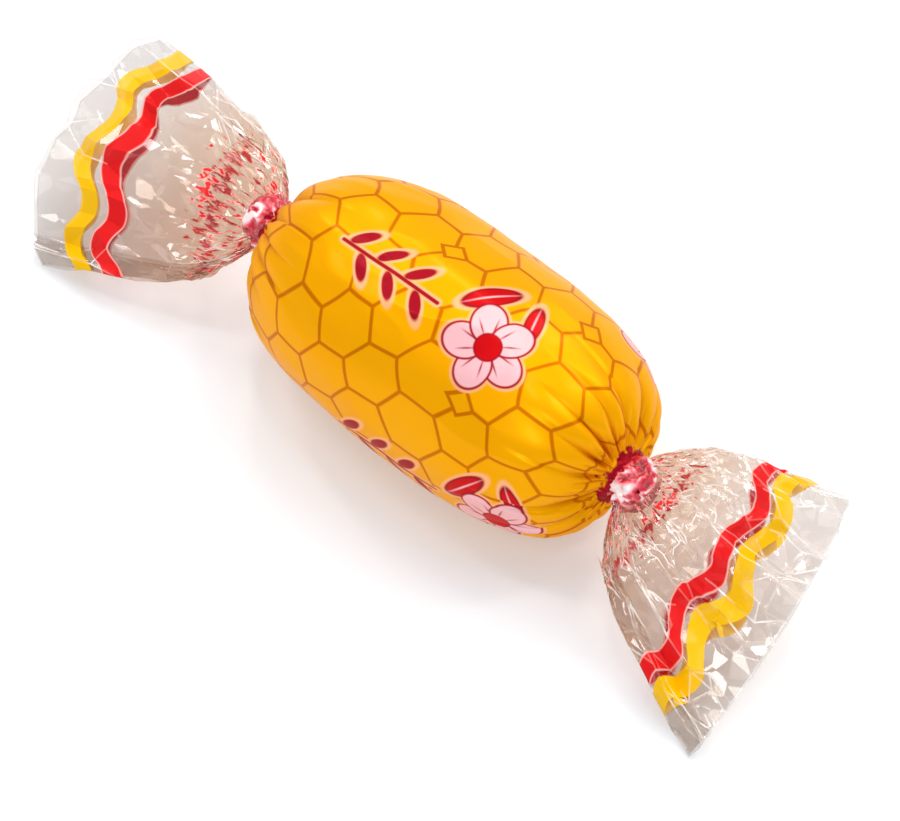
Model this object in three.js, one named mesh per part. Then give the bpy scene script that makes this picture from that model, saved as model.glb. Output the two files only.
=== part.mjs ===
// A twist-wrapped molasses taffy lying on its side on a level surface.
//
// The chew and the printed film drawn tightly round it are one closed solid, because the print
// hides the chew. At each end the film is gathered into a neck, twisted, and opens again as a
// clear, pleated fan: one thin wavy solid at each end.
//
// Millimetres, +Z up, +X along the chew. The origin is at the middle of the whole sweet's box,
// on the surface that it lies on.

import * as THREE from "three";
import { mergeVertices } from "three/addons/utils/BufferGeometryUtils.js";

// --- Driving dimensions -------------------------------------------------------------------

const BODY_DIAMETER = 17;
const BODY_LENGTH = 31;
const FLAT_SPOT_DEPTH = 0.3; // the soft chew settles by this much where it lies
const LUMP_HEIGHT = 0.14; // slow unevenness of the chew

// How squarely each end of the body is rounded: the exponent of its superellipse.
const LEFT_END_SQUARENESS = 2.75;
const RIGHT_END_SQUARENESS = 3.25;

// The gathers that run from each neck over the shoulder, with distances along the surface
// from the neck.
const END_PLEATS = 17;
const END_PLEAT_DEPTH = 0.42;
const END_PLEAT_RISE = 1.6; // where they have reached their full depth
const END_PLEAT_FADE = 2.5; // where they start to die out
const END_PLEAT_REACH = 7.5; // where they have died out
const END_PLEAT_DRIFT = 0.35; // how unevenly they are spaced, in pleats
const END_PLEAT_UNEVENNESS = 0.3; // how much their depth varies, as a share

const NECK_DIAMETER = 3; // the twisted film where it leaves the body
const NECK_LENGTH = 1.1;
const NECK_FLARE = 1.35; // how much wider the neck is where it meets the body
const NECK_FOLDS = 6; // folds of film that the twist winds together
const NECK_FOLD_DEPTH = 0.32;
const NECK_TWIST = 0.22; // turns of a fold in a millimetre of neck
const NECK_GAP = 0.3; // between the body's neck and a fan's root

// The gathered film bursts open into a puff beside the neck and flattens towards its cut edge.
// Bulk is half the thickness of the crumpled layers.
const PUFF_BULK = 1.6;
const PUFF_WIDTH = 4.2; // how far the puff spreads past the neck on each side
const PUFF_LENGTH = 1.8; // the distance in which most of that happens
const PUFF_END = 9; // where the film has flattened
const FILM_BULK = 0.5;
const FAN_PLEATS = 8;
const FAN_PLEAT_HEIGHT = 0.75;
const FAN_PLEAT_START = 5; // the distance in which the pleats rise
const FAN_PLEAT_WANDER = 0.3; // how far they stray sideways, in pleats
const FAN_RIPPLE_HEIGHT = 0.3; // slow waves that cross the pleats
const FAN_CLEARANCE = 0.06; // a fan's lowest point stays this far above the surface

// Each fan lies in a plane of its own. "along" points from the neck to the middle of the cut
// edge and "across" towards the back edge. "reach" is the film's length from neck to cut edge,
// "slant" is how much longer the front edge is than the back one, "bulge" is how far the middle
// of the cut edge stands out past its corners, and "droop" is how far its corners hang.
const FANS = [
  {
    name: "twist_end_left",
    side: -1,
    along: new THREE.Vector3(-0.983, -0.065, -0.172),
    across: new THREE.Vector3(-0.131, 0.903, 0.41),
    reach: 16,
    slant: -0.8,
    bulge: 3.2,
    halfWidth: 10,
    droop: 1.4,
    seed: 11,
  },
  {
    name: "twist_end_right",
    side: 1,
    along: new THREE.Vector3(0.967, 0.015, -0.255),
    across: new THREE.Vector3(0.073, 0.942, 0.334),
    reach: 13.6,
    slant: 4.2,
    bulge: 0.7,
    halfWidth: 10.4,
    droop: 0.5,
    seed: 29,
  },
];

// Mesh fineness.
const BODY_SEGMENTS = 6 * END_PLEATS;
const HALF_BODY_RINGS = 14;
const NECK_RINGS = 3;
const FAN_SEGMENTS_ACROSS = 5 * FAN_PLEATS;
const FAN_SEGMENTS_ALONG = 13;
const WELD_DISTANCE = 1e-3;

// --- Materials ----------------------------------------------------------------------------

const printedFilm = new THREE.MeshStandardMaterial({
  name: "printed_film",
  color: 0xf5a90c,
  roughness: 0.28,
  metalness: 0,
});
const clearFilm = new THREE.MeshStandardMaterial({
  name: "clear_film",
  color: 0xf3efe9,
  roughness: 0.12,
  metalness: 0,
  transparent: true,
  opacity: 0.4,
});

// --- Small helpers ------------------------------------------------------------------------

const { clamp, lerp, smoothstep } = THREE.MathUtils;

// A repeatable series of numbers from 0 to 1.
function seededRandom(seed) {
  const multiplier = 16807;
  const modulus = 2147483647;
  let state = seed;
  return () => {
    state = (state * multiplier) % modulus;
    return state / modulus;
  };
}

// One fold of film, from valley to valley: 1 on its rounded ridge, -1 in its sharp valleys.
function fold(share) {
  const ridgeRoundness = 0.75;
  return 2 * Math.pow(Math.max(Math.sin(Math.PI * share), 0), ridgeRoundness) - 1;
}

// The same fold, repeated once a turn.
function folds(turns) {
  return fold(turns - Math.floor(turns));
}

// Joins the corners that meet, so that the surface is one closed skin.
function weld(geometry) {
  geometry.deleteAttribute("normal");
  geometry.deleteAttribute("uv");
  const welded = mergeVertices(geometry, WELD_DISTANCE);
  welded.computeVertexNormals();
  return welded;
}

// --- The body -----------------------------------------------------------------------------

const halfLength = BODY_LENGTH / 2;
const bodyRadius = BODY_DIAMETER / 2;
const neckRadius = NECK_DIAMETER / 2;
const neckEnd = halfLength + NECK_LENGTH;
const surfaceHeight = FLAT_SPOT_DEPTH - bodyRadius; // below the chew's axis

// One end's half outline, from the neck's end face to the body's middle, as points of (radius,
// distance from the middle). It starts on the axis.
function endOutline(squareness) {
  const points = [new THREE.Vector2(0, neckEnd)];
  for (let ring = 0; ring <= NECK_RINGS; ring++) {
    const share = ring / NECK_RINGS;
    const radius = neckRadius * lerp(1, NECK_FLARE, share * share);
    points.push(new THREE.Vector2(radius, lerp(neckEnd, halfLength, share)));
  }
  const shoulderRadius = neckRadius * (NECK_FLARE + 0.25);
  const firstTurn = Math.asin(Math.pow(shoulderRadius / bodyRadius, squareness / 2));
  for (let ring = 0; ring <= HALF_BODY_RINGS; ring++) {
    const turn = lerp(firstTurn, Math.PI / 2, ring / HALF_BODY_RINGS);
    const radius = bodyRadius * Math.pow(Math.sin(turn), 2 / squareness);
    const place = halfLength * Math.pow(Math.max(Math.cos(turn), 0), 2 / squareness);
    points.push(new THREE.Vector2(radius, place));
  }
  return points;
}

// The whole half outline, from the left neck's end face to the right one.
function bodyOutline() {
  const left = endOutline(LEFT_END_SQUARENESS).map(({ x, y }) => new THREE.Vector2(x, -y));
  const right = endOutline(RIGHT_END_SQUARENESS).reverse();
  return [...left, ...right.slice(1)];
}

// The gathers round one neck: 0 on the ridges, down to -1 in the valleys.
function endPleats(side, fromNeck, angle) {
  const rising = smoothstep(fromNeck, 0, END_PLEAT_RISE);
  const fading = smoothstep(fromNeck, END_PLEAT_FADE, END_PLEAT_REACH);
  const drift = END_PLEAT_DRIFT * Math.sin(3 * angle + side);
  const depth = 1 - END_PLEAT_UNEVENNESS * (1 + Math.sin(5 * angle + 2 * side)) / 2;
  const turns = (END_PLEATS * angle) / (2 * Math.PI) + drift;
  return rising * (1 - fading) * depth * (folds(turns) - 1) / 2;
}

// The chew's slow lumps, from about -1 to 1, made of two crossing waves.
function lumps(place, angle) {
  const slow = Math.sin(0.32 * place + 2 * angle) * Math.sin(0.19 * place - angle + 1);
  const quick = Math.sin(0.45 * place + 3 * angle + 2);
  return slow + 0.6 * quick;
}

// How far the film stands out of the plain outline, at a place on the body.
function wrapRelief(place, radius, angle) {
  const fromNeck = Math.hypot(halfLength - Math.abs(place), Math.max(radius - neckRadius, 0));
  const onBody = smoothstep(radius, neckRadius, bodyRadius);
  const pleats = endPleats(Math.sign(place), fromNeck, angle);
  return END_PLEAT_DEPTH * pleats + LUMP_HEIGHT * onBody * lumps(place, angle);
}

// The twisted folds of the neck, which wind the same way round at both ends.
function neckRelief(place, angle) {
  const turns = (NECK_FOLDS * angle) / (2 * Math.PI) + NECK_TWIST * NECK_FOLDS * place;
  return (NECK_FOLD_DEPTH * folds(turns)) / 2;
}

function wrappedBody() {
  const geometry = new THREE.LatheGeometry(bodyOutline(), BODY_SEGMENTS);
  geometry.rotateZ(-Math.PI / 2);
  const position = geometry.getAttribute("position");
  const normal = geometry.getAttribute("normal");
  const point = new THREE.Vector3();
  const outward = new THREE.Vector3();
  for (let i = 0; i < position.count; i++) {
    point.fromBufferAttribute(position, i);
    const radius = Math.hypot(point.y, point.z);
    const angle = Math.atan2(point.z, point.y);
    if (Math.abs(point.x) < halfLength - WELD_DISTANCE) {
      outward.fromBufferAttribute(normal, i);
      point.addScaledVector(outward, wrapRelief(point.x, radius, angle));
    } else if (radius > neckRadius / 2) {
      outward.set(0, point.y, point.z).normalize();
      point.addScaledVector(outward, neckRelief(point.x, angle));
    }
    point.z = Math.max(point.z, surfaceHeight);
    position.setXYZ(i, point.x, point.y, point.z);
  }
  return weld(geometry);
}

// --- The fans -----------------------------------------------------------------------------

// The fan's three directions: along it, across it to its back edge, and up through the film.
function fanAxes(along, across) {
  const forward = along.clone().normalize();
  const sideways = across.clone().addScaledVector(forward, -across.dot(forward)).normalize();
  const upward = new THREE.Vector3().crossVectors(forward, sideways).normalize();
  if (upward.z < 0) upward.negate();
  return { forward, sideways, upward };
}

// Half the fan's width at a distance from its root.
function fanHalfWidth(fan, distance) {
  const opened = neckRadius + PUFF_WIDTH * (1 - Math.exp(-distance / PUFF_LENGTH));
  return opened + ((fan.halfWidth - neckRadius - PUFF_WIDTH) * distance) / fan.reach;
}

// Half the thickness of the crumpled film, at a share of the half width from the middle. It is
// round at the root, like the neck.
function fanHalfBulk(fromMiddle, distance) {
  const roundNeck = neckRadius * Math.sqrt(Math.max(1 - fromMiddle, 0.03));
  const roundPuff = PUFF_BULK * Math.sqrt(1.05 - fromMiddle);
  const puff = smoothstep(distance, 0, PUFF_LENGTH) * (1 - smoothstep(distance, PUFF_LENGTH, PUFF_END));
  return lerp(roundNeck, lerp(FILM_BULK, roundPuff, puff), smoothstep(distance, 0, PUFF_LENGTH));
}

// The fan's pleats, each of its own width and height. They wander a little on their way from
// the neck, where they are flat, to the cut edge, where they are highest.
function fanPleats(fan) {
  const random = seededRandom(fan.seed);
  const pleats = [];
  let end = 0;
  for (let i = 0; i < FAN_PLEATS; i++) {
    const width = lerp(0.65, 1.35, random());
    pleats.push({ start: end, width, height: lerp(0.6, 1.25, random()) });
    end += width;
  }
  const phase = 2 * Math.PI * random();
  return (sideways, opened, distance) => {
    const wander = FAN_PLEAT_WANDER * Math.sin(4 * opened + 3 * sideways + phase);
    const at = clamp(((sideways + 1) / 2) * end + wander, 0, end);
    const pleat = pleats.findLast(({ start }) => start <= at);
    const ridge = (fold((at - pleat.start) / pleat.width) + 1) * pleat.height - 1;
    const ripple = Math.sin(7 * opened + 2.5 * sideways + phase);
    const height = FAN_PLEAT_HEIGHT * ridge + FAN_RIPPLE_HEIGHT * ripple;
    return height * opened * smoothstep(distance, 0, FAN_PLEAT_START);
  };
}

// A box is bent into the fan: its X runs across the fan, its Y along it and its Z through the
// crumpled film, each from -0.5 to 0.5. The root stands square on the body's axis, and the film
// turns from there into the fan's own plane.
function twistEnd(fan) {
  const geometry = new THREE.BoxGeometry(1, 1, 1, FAN_SEGMENTS_ACROSS, FAN_SEGMENTS_ALONG, 1);
  const root = new THREE.Vector3(fan.side * (neckEnd + NECK_GAP), 0, 0);
  const rootAxes = fanAxes(new THREE.Vector3(fan.side, 0, 0), fan.across);
  const planeAxes = fanAxes(fan.along, fan.across);
  const turnLength = 3;
  const pleatHeight = fanPleats(fan);
  const position = geometry.getAttribute("position");
  const point = new THREE.Vector3();
  const across = new THREE.Vector3();
  const through = new THREE.Vector3();
  for (let i = 0; i < position.count; i++) {
    // From -1 at the front edge to 1 at the back one, with the steps closer at the edges. The
    // two fans count it from opposite ends of the box, which keeps their faces outward.
    const sideways = -fan.side * Math.sin(Math.PI * position.getX(i));
    const fromMiddle = sideways * sideways;
    const opened = Math.pow(position.getY(i) + 0.5, 1.35); // 0 at the neck, 1 at the cut edge
    const layer = Math.sign(position.getZ(i));

    const length = fan.reach + fan.bulge * (1 - fromMiddle) - (fan.slant / 2) * sideways;
    const distance = length * opened;
    const turned = smoothstep(distance, 0, turnLength);
    across.lerpVectors(rootAxes.sideways, planeAxes.sideways, turned).normalize();
    through.lerpVectors(rootAxes.upward, planeAxes.upward, turned).normalize();

    const halfBulk = fanHalfBulk(fromMiddle, distance);
    const lift = pleatHeight(sideways, opened, distance) - fan.droop * opened * fromMiddle;
    point
      .copy(root)
      .addScaledVector(planeAxes.forward, distance)
      .addScaledVector(across, sideways * fanHalfWidth(fan, distance))
      .addScaledVector(through, lift);
    point.z = Math.max(point.z, surfaceHeight + FAN_CLEARANCE + halfBulk);
    point.addScaledVector(through, layer * halfBulk);
    position.setXYZ(i, point.x, point.y, point.z);
  }
  return weld(geometry);
}

// --- The whole sweet ----------------------------------------------------------------------

function namedMesh(name, geometry, material) {
  const mesh = new THREE.Mesh(geometry, material);
  mesh.name = name;
  return mesh;
}

const sweet = new THREE.Group();
sweet.add(namedMesh("wrapped_body", wrappedBody(), printedFilm));
for (const fan of FANS) {
  sweet.add(namedMesh(fan.name, twistEnd(fan), clearFilm));
}

// Put the origin at the bottom centre of the whole.
const box = new THREE.Box3().setFromObject(sweet);
const centre = box.getCenter(new THREE.Vector3());
sweet.position.set(-centre.x, -centre.y, -box.min.z);

export default sweet;
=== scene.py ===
import math
import random
from functools import partial

import bmesh
import bpy
from bpy.props import FloatProperty, FloatVectorProperty, IntProperty, PointerProperty
from bpy.types import Operator, Panel, PropertyGroup
from mathutils import Euler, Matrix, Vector, noise


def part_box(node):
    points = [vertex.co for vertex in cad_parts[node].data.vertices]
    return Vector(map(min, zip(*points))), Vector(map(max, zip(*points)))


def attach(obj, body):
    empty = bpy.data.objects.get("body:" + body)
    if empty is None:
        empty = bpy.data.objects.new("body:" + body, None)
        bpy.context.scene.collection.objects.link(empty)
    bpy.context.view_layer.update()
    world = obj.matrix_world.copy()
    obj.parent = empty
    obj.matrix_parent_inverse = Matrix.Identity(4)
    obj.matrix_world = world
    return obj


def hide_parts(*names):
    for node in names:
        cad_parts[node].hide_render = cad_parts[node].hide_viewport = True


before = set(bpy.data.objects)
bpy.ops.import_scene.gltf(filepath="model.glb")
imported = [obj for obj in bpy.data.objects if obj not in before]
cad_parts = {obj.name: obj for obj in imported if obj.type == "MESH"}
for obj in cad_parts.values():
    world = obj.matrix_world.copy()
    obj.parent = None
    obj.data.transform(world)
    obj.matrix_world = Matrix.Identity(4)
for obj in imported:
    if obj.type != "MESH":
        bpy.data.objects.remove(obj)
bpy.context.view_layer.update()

bl_info = {
    "name": "Wrapped molasses taffy",
    "version": (1, 0, 0),
    "blender": (4, 5, 0),
    "location": "View3D > Sidebar > Taffy",
    "description": "Dresses the packed taffy with its printed film, clear fans, floor and light",
    "category": "Object",
}

MM = 0.001

# --- The construction, as the part's source has it ---

BODY_DIAMETER = 17 * MM
BODY_LENGTH = 31 * MM
FLAT_SPOT_DEPTH = 0.3 * MM
LUMP_HEIGHT = 0.14 * MM
LEFT_END_SQUARENESS = 2.75
RIGHT_END_SQUARENESS = 3.25
END_PLEATS = 17
END_PLEAT_RISE = 1.6 * MM
END_PLEAT_FADE = 2.5 * MM
END_PLEAT_DRIFT = 0.35
NECK_DIAMETER = 3 * MM
NECK_LENGTH = 1.1 * MM
NECK_FLARE = 1.35
NECK_TWIST = 0.22 / MM
PUFF_BULK = 1.6 * MM
PUFF_WIDTH = 4.2 * MM
PUFF_LENGTH = 1.8 * MM
PUFF_END = 9 * MM
FILM_BULK = 0.5 * MM
FAN_PLEATS = 8
FAN_PLEAT_HEIGHT = 0.75 * MM
FAN_PLEAT_START = 5 * MM
FAN_PLEAT_WANDER = 0.3
FAN_RIPPLE_HEIGHT = 0.3 * MM
FAN_TURN_LENGTH = 3 * MM

HALF_LENGTH = BODY_LENGTH / 2
BODY_RADIUS = BODY_DIAMETER / 2
NECK_RADIUS = NECK_DIAMETER / 2
NECK_END = HALF_LENGTH + NECK_LENGTH

# The first nine entries of each fan are the source's. crumple is how badly the film is crushed,
# near the neck and far from it, and wide_folds how high its wide folds stand. sharp_fold is the
# least angle of a fold that is rounded and painted white, as a painted highlight along the crease.
# print_shift is how far the print lies askew, in mm: all of it, its slope and its bow. bands are
# the places of the red and the yellow band, in mm from the neck, and wave_phase turns their waves.
# back_share narrows the back half of the fan.
FANS = {
    "left": {
        "side": -1,
        "along": Vector((-0.983, -0.065, -0.172)),
        "across": Vector((-0.131, 0.903, 0.41)),
        "reach": 16 * MM,
        "slant": -0.8 * MM,
        "bulge": 3.2 * MM,
        "half_width": 10 * MM,
        "droop": 1.4 * MM,
        "pleat_seed": 11,
        "crumple": (0.9, 0.3),
        "sharp_fold": math.radians(44),
        "tint": "#efebe8",
        "wide_folds": 0.6,
        "print_shift": (-3.3, -1.0, 2.3),
        "bands": (10.2, 12.8),
        "wave_phase": 0.0,
        "back_share": 0.88,
    },
    "right": {
        "side": 1,
        "along": Vector((0.967, 0.015, -0.255)),
        "across": Vector((0.073, 0.942, 0.334)),
        "reach": 13.6 * MM,
        "slant": 4.2 * MM,
        "bulge": 0.7 * MM,
        "half_width": 10.4 * MM,
        "droop": 0.5 * MM,
        "pleat_seed": 29,
        "crumple": (0.9, 0.9),
        "sharp_fold": math.radians(26),
        "tint": "#efeae6",
        "wide_folds": 1.0,
        "print_shift": (1.5, 2.2, 0.4),
        "bands": (10.2, 12.35),
        "wave_phase": 0.6,
        "back_share": 1.0,
    },
}


def body_centre():
    """The middle of the chew's axis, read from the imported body's two necks."""
    lowest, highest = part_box("wrapped_body")
    reach = 0.01 * MM
    ends = [
        vertex.co
        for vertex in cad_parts["wrapped_body"].data.vertices
        if vertex.co.x > highest.x - reach or vertex.co.x < lowest.x + reach
    ]
    across = sum(co.y for co in ends) / len(ends)
    return Vector(((lowest.x + highest.x) / 2, across, BODY_RADIUS - FLAT_SPOT_DEPTH))


CENTRE = body_centre()


# --- Small helpers ---


def clamp(value, low=0.0, high=1.0):
    return max(low, min(high, value))


def lerp(a, b, share):
    return a + (b - a) * share


def smoothstep(value, low, high):
    share = clamp((value - low) / (high - low))
    return share * share * (3 - 2 * share)


def linear(hex_colour):
    """A colour written as sRGB hex, as the linear RGBA that a shader takes."""
    channels = [int(hex_colour[i : i + 2], 16) / 255 for i in (1, 3, 5)]
    return [c / 12.92 if c <= 0.04045 else ((c + 0.055) / 1.055) ** 2.4 for c in channels] + [1]


def rgba(colour):
    """A colour property as the RGBA that a shader takes."""
    return (*colour, 1)


def add_node(tree, kind, inputs=(), **settings):
    """Adds a shader node, gives it its settings, and links or fills its inputs. A kind such as
    Math.ADD is a Math node whose operation is ADD, and a MapRange node's inputs are its value,
    the least and the most of it, and what they become."""
    kind, *operation = kind.split(".")
    made = tree.nodes.new("ShaderNode" + kind)
    if operation:
        settings["operation"] = operation[0]
    for name, value in settings.items():
        setattr(made, name, value)
    pairs = inputs.items() if isinstance(inputs, dict) else enumerate(inputs)
    for key, value in pairs:
        if isinstance(value, bpy.types.Node):
            value = value.outputs[0]
        if isinstance(value, bpy.types.NodeSocket):
            tree.links.new(value, made.inputs[key])
        else:
            made.inputs[key].default_value = value
    return made


def new_material(name):
    """A new, empty material, and add_node for its own nodes."""
    material = bpy.data.materials.new(name)
    material.use_nodes = True
    material.node_tree.nodes.clear()
    return material, partial(add_node, material.node_tree)


def new_piece(name, mesh, material):
    piece = bpy.data.objects.new(name, mesh)
    bpy.context.scene.collection.objects.link(piece)
    mesh.materials.append(material)
    return piece


def spin_outline(bm, outline, steps):
    """Turns a line of vertices round the X axis into a closed skin."""
    edges = [bm.edges.new(pair) for pair in zip(outline, outline[1:])]
    bmesh.ops.spin(
        bm, geom=outline + edges, cent=(0, 0, 0), axis=(1, 0, 0), dvec=(0, 0, 0),
        angle=math.tau, steps=steps, use_merge=True, use_duplicate=False,
    )
    bmesh.ops.remove_doubles(bm, verts=bm.verts, dist=0.001 * MM)


def finished_mesh(bm, name):
    """A piece's mesh with every face shaded smoothly. Where there are none, that's an error."""
    if not bm.faces:
        raise RuntimeError(name + " has no faces")
    for face in bm.faces:
        face.smooth = True
    mesh = bpy.data.meshes.new(name)
    bm.to_mesh(mesh)
    bm.free()
    return mesh


# --- Sizes and colours that a user would change ---


def colour_setting(name, description, hex_colour):
    return FloatVectorProperty(
        name=name, description=description, default=linear(hex_colour)[:3], subtype="COLOR",
        min=0, max=1,
    )


def length_setting(name, description, default, least=0):
    return FloatProperty(
        name=name, description=description, default=default, min=least, unit="LENGTH"
    )


class PrintedFilmSettings(PropertyGroup):
    cell: length_setting("Honeycomb cell", "Width of a printed cell", 4.4 * MM, 1 * MM)
    line: length_setting("Honeycomb line", "Width of the cells' lines", 0.27 * MM, 0.05 * MM)
    crease: length_setting("Gather depth", "Depth of the gathers round the necks", 0.74 * MM)
    gold: colour_setting("Gold", "The ground of the print", "#f5aa02")
    gold_shade: colour_setting("Gold, thicker", "Where the ground's ink lies thicker", "#f3a002")
    # Painted shade: the darker orange painted into the gathers' folds at the ends.
    gather_shade: colour_setting("Gathers", "Deep in the gathers at the ends", "#c65c00")
    line_ink: colour_setting("Lines", "The lines of the honeycomb", "#c05c00")
    red: colour_setting("Red", "Leaves and heart of the blossom", "#c80814")
    crimson: colour_setting("Crimson", "The sprig, and the outlines of the blossom", "#a00c22")
    pink: colour_setting("Pink", "Petals of the blossom", "#f2b6b8")
    halo: colour_setting("Halo", "The pale rim round the motifs", "#f8b078")


class ClearFilmSettings(PropertyGroup):
    crumple: length_setting("Crumple", "How far creases stand out of the film", 0.4 * MM)
    wide_folds: length_setting("Wide folds", "Height of the wide, straight folds", 0.22 * MM)
    crease_width: length_setting(
        "Crease width", "Width of the rounded edge between two facets", 0.15 * MM, 0.01 * MM
    )
    # Painted shade and bounce: the film is tinted warmer and darker near the neck, for its crowded
    # layers and the gold chew's warm bounce.
    neck_shade_and_bounce: colour_setting("Tint near the neck", "Colour of light through it", "#e8d6c6")
    yellow_band: colour_setting("Yellow band", "The outer band of the print", "#f4bc00")
    red_band: colour_setting("Red band", "The inner band of the print", "#dc0008")
    band_edge: colour_setting("Band's rim", "The pale rim of the red band", "#ffb4a8")
    columns: IntProperty(
        name="Facets around", description="Facets around the opened tube of film",
        default=36, min=8,
    )
    rows: IntProperty(
        name="Facets along", description="Facets from the neck to the cut edge",
        default=9, min=4,
    )


class StageSettings(PropertyGroup):
    floor_size: length_setting("Floor", "Length of the floor's sides", 3, 0.5)
    floor: colour_setting("Floor's colour", "Paint of the floor", "#e7e5e4")
    softbox: FloatProperty(
        name="Softbox", description="Power that each light takes its share of", default=4.5,
        min=0, unit="POWER",
    )


# --- The printed film ---


def fold(share):
    """One fold of film, from trough to trough: 1 on its round ridge, -1 in its sharp troughs."""
    ridge_roundness = 0.75
    return 2 * max(math.sin(math.pi * share), 0) ** ridge_roundness - 1


def folds(turns):
    return fold(turns - math.floor(turns))


def end_outline(squareness, steps=400):
    """Half the body's outline, as (distance from the middle, radius), from the middle to the
    neck's end face and in to the axis."""
    shoulder_radius = NECK_RADIUS * (NECK_FLARE + 0.25)
    first_turn = math.asin((shoulder_radius / BODY_RADIUS) ** (squareness / 2))
    points = []
    for i in range(steps + 1):
        turn = lerp(math.pi / 2, first_turn, i / steps)
        radius = BODY_RADIUS * math.sin(turn) ** (2 / squareness)
        place = HALF_LENGTH * max(math.cos(turn), 0) ** (2 / squareness)
        points.append((place, radius))
    neck_steps = 12
    for i in range(neck_steps + 1):
        share = 1 - i / neck_steps
        radius = NECK_RADIUS * lerp(1, NECK_FLARE, share * share)
        points.append((lerp(NECK_END, HALF_LENGTH, share), radius))
    points.append((NECK_END, 0))
    return points


def evenly_spaced(points, step):
    """The same line with points about a step apart, as (x, radius, length along the line)."""
    lengths = [0]
    for (x0, r0), (x1, r1) in zip(points, points[1:]):
        lengths.append(lengths[-1] + math.hypot(x1 - x0, r1 - r0))
    count = round(lengths[-1] / step)
    made = []
    segment = 0
    for i in range(count + 1):
        wanted = lengths[-1] * i / count
        while segment < len(lengths) - 2 and lengths[segment + 1] < wanted:
            segment += 1
        span = max(lengths[segment + 1] - lengths[segment], 1e-12)
        share = clamp((wanted - lengths[segment]) / span)
        (x0, r0), (x1, r1) = points[segment], points[segment + 1]
        made.append((lerp(x0, x1, share), lerp(r0, r1, share), wanted))
    return made


GATHER_REACH = 8.2 * MM  # over the body, from the neck
GATHER_SPREAD = 2.4 * MM  # how much more or less single gathers reach
GATHER_SHALLOWING = 0.35  # the share of their depth that the shallowest lack
SMALL_GATHER_FADE = 1.2 * MM
SMALL_GATHER_REACH = 4.5 * MM
SMALL_GATHER_DEPTH = 0.45


def wrap_relief(place, radius, angle, gather_depth):
    """How far the film stands out of the plain outline, at a place on the body."""
    side = math.copysign(1, place)
    from_neck = math.hypot(HALF_LENGTH - abs(place), max(radius - NECK_RADIUS, 0))
    on_body = smoothstep(radius, NECK_RADIUS, BODY_RADIUS)
    # The gathers of the source, deeper and with smaller ones between them.
    rising = smoothstep(from_neck, 0, END_PLEAT_RISE)
    turns = END_PLEATS * angle / math.tau + END_PLEAT_DRIFT * math.sin(3 * angle + side)
    reach = GATHER_REACH + GATHER_SPREAD * math.sin(math.floor(turns) * 2.4 + side)
    fading = smoothstep(from_neck, END_PLEAT_FADE, reach)
    depth = 1 - GATHER_SHALLOWING * (1 + math.sin(5 * angle + 2 * side)) / 2
    gathers = rising * (1 - fading) * depth * (folds(turns) - 1) / 2
    fine = rising * (1 - smoothstep(from_neck, SMALL_GATHER_FADE, SMALL_GATHER_REACH))
    small = fine * (folds(2.4 * turns + 0.6 * math.sin(2 * angle)) - 1) / 2
    # The chew's slow lumps.
    mm_along = place / MM
    slow = math.sin(0.32 * mm_along + 2 * angle) * math.sin(0.19 * mm_along - angle + 1)
    lumps = slow + 0.6 * math.sin(0.45 * mm_along + 3 * angle + 2)
    gathered = gathers + SMALL_GATHER_DEPTH * small
    # The second value, how deep the place lies in a gather, masks the gathers' painted shade.
    return gather_depth * gathered + LUMP_HEIGHT * on_body * lumps, clamp(-gathered)


DENT_LENGTH = 9 * MM
DENT_HEIGHT = 0.05 * MM
PATCH_SIZE = 7 * MM
PATCH_HEIGHT = 0.16 * MM


def film_tension(point, place, angle):
    """The slack of the film over the chew: long shallow dents that run mostly along it."""
    stretched = Vector((place / DENT_LENGTH, math.cos(angle) * 2.2, math.sin(angle) * 2.2))
    dents = 1 - abs(noise.noise(stretched * 1.7 + Vector((3.1, 0, 0)))) * 4
    return DENT_HEIGHT * dents + PATCH_HEIGHT * noise.noise(point / PATCH_SIZE)


NECK_FOLDS = 6  # round the neck
NECK_FOLD_HEIGHT = 0.2 * MM
SMALL_NECK_FOLD_HEIGHT = 0.09 * MM


def neck_relief(place, angle):
    """The twisted folds of the neck, which wind the same way round at both ends."""
    turns = NECK_FOLDS * angle / math.tau + NECK_TWIST * NECK_FOLDS * place
    return NECK_FOLD_HEIGHT * folds(turns) + SMALL_NECK_FOLD_HEIGHT * folds(2.3 * turns + 0.2)


SEAM_ANGLE = math.radians(-31)  # where the film's free edge lies, low on the back
SEAM_STEP = 0.1 * MM  # the film is drawn thicker than it is, so that its edge shows
SEAM_FADE = math.radians(40)
RING_STEP = 0.21 * MM  # between the mesh's rings
RING_FACES = 320


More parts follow.
